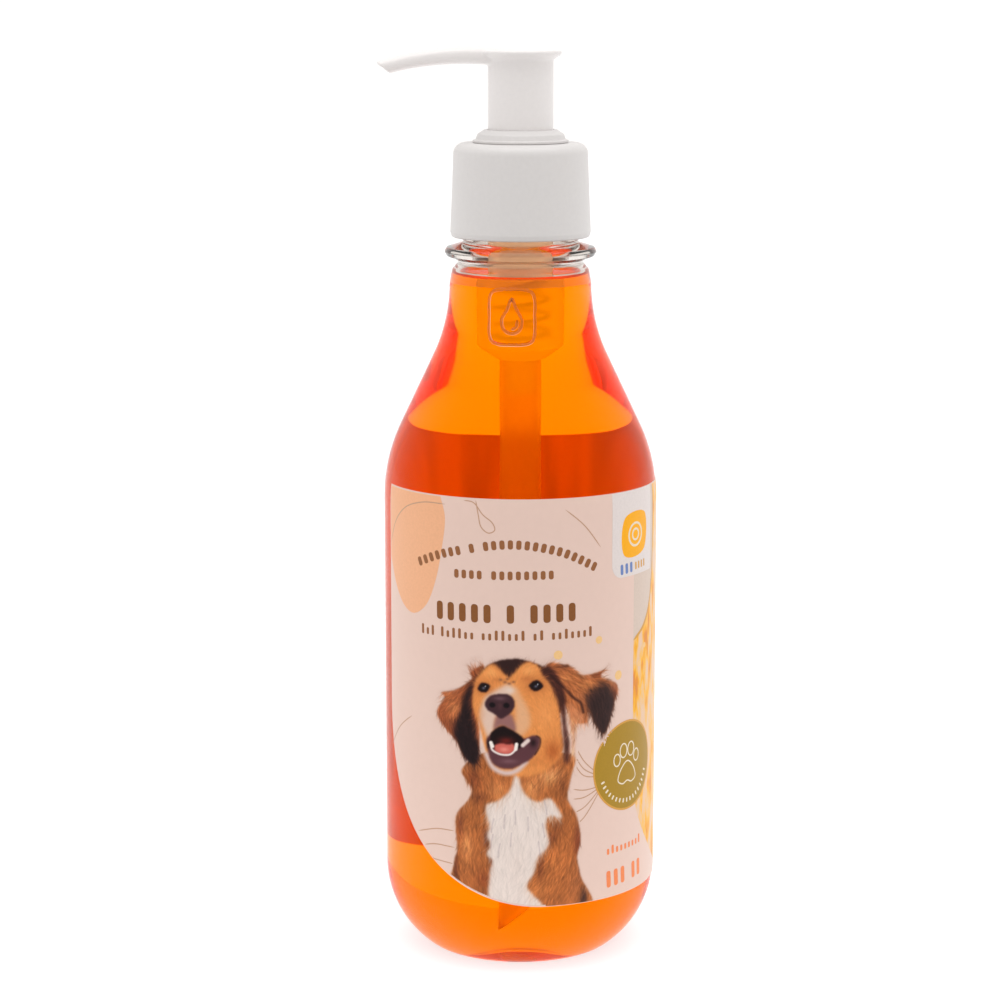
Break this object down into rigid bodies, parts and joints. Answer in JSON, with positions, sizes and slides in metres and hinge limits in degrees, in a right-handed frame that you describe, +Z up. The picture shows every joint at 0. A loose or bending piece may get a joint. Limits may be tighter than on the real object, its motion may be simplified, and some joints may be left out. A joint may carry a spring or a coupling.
{
  "type": "shampoo bottle",
  "caption": "Clear round bottle of shampoo with a sloping shoulder, wrap-round label, screw closure and a push-down lotion pump with a long curved spout.",
  "frame": {"origin": "on the surface that the bottle stands on, under the bottle's axis", "axes": "+Z up along the bottle's axis; the spout points along -X; the middle of the printed front faces -Y"},
  "size_m": [0.0612, 0.0602, 0.199],
  "materials": {
    "clear_pet": "clear blown PET, very glossy",
    "orange_shampoo": "clear orange liquid",
    "label_film": "satin printed film, pale pink",
    "pump_white": "white moulded polypropylene, soft sheen",
    "gasket_foam": "white foamed polyethylene",
    "natural_pp": "uncoloured polypropylene, milky and translucent",
    "ball_glass": "polished glass",
    "spring_steel": "bright stainless spring wire"
  },
  "bodies": {
    "bottle_body": {"bottle": "clear_pet", "shampoo": "orange_shampoo", "label": "label_film"},
    "pump_body": {"housing": "natural_pp", "gasket": "gasket_foam", "chaplet": "pump_white", "ball_cage": "natural_pp", "spring": "spring_steel", "dip_tube": "natural_pp"},
    "closure_body": {"closure": "pump_white"},
    "plunger": {"stem": "pump_white", "stem_tip": "pump_white"},
    "head": {"actuator": "pump_white"},
    "piston_body": {"piston": "natural_pp"},
    "ball_body": {"check_ball": "ball_glass"}
  },
  "joints": [
    {"name": "pump_rise", "type": "slide", "parent": "bottle_body", "child": "pump_body", "axis": [0, 0, 1], "range_m": [0, 0.0063]},
    {"name": "closure_turn", "type": "hinge", "parent": "pump_body", "child": "closure_body", "pos_m": [0, 0, 0.168], "axis": [0, 0, 1], "range_deg": [0, 540]},
    {"name": "pump_stroke", "type": "slide", "parent": "pump_body", "child": "plunger", "axis": [0, 0, -1], "range_m": [0, 0.011], "stiffness_N_per_m": 1000, "springref_m": -0.006, "deforming": ["spring"]},
    {"name": "head_swivel", "type": "hinge", "parent": "plunger", "child": "head", "pos_m": [0, 0, 0.185], "axis": [0, 0, 1], "continuous": true},
    {"name": "piston_float", "type": "slide", "parent": "plunger", "child": "piston_body", "axis": [0, 0, 1], "range_m": [0, 0.0009]},
    {"name": "ball_lift", "type": "slide", "parent": "pump_body", "child": "ball_body", "axis": [0, 0, 1], "range_m": [0, 0.0015]}
  ],
  "couplings": [
    {"joint": "pump_rise", "follows": "closure_turn", "m_per_rad": 0.00066845}
  ]
}
